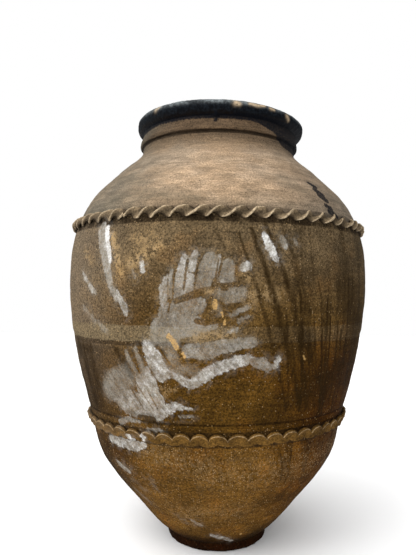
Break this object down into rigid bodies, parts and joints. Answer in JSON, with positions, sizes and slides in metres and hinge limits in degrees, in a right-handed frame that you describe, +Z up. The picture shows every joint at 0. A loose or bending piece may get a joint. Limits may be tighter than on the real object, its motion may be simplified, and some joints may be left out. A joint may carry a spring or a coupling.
{
  "type": "clay storage jar",
  "caption": "Tall pointed clay storage jar with a small foot, a wide belly, a short collared neck, a thick rolled rim and twisted clay ropes round it.",
  "frame": {"origin": "centre of the underside of the foot, on the surface that the jar stands on", "axes": "+Z up along the jar's axis, -Y towards the front"},
  "size_m": [0.708, 0.708, 1],
  "materials": {
    "lower_clay": "unglazed, coarse and weathered, with splashes of lime",
    "upper_clay": "unglazed, smoothed while wet, with fine throwing lines",
    "rope_clay": "unglazed, pressed with fingers, rubbed pale on the crests",
    "slip": "unglazed, matt",
    "tar_paint": "painted with tar, worn through to the clay in places"
  },
  "bodies": {
    "root": {"foot_disc": "lower_clay", "lower_wall": "lower_clay", "lower_belly_wall": "lower_clay", "upper_belly_wall": "lower_clay", "shoulder_wall": "upper_clay", "neck_collar": "upper_clay", "rim_bead": "tar_paint", "lower_rope_length_1": "rope_clay", "lower_rope_length_2": "rope_clay", "upper_rope_length_1": "rope_clay", "upper_rope_length_2": "rope_clay", "slip_joint_foot": "slip", "slip_joint_lower": "slip", "slip_joint_belly": "slip", "slip_joint_shoulder": "slip", "slip_joint_collar": "slip", "slip_joint_rim": "slip"}
  },
  "joints": []
}
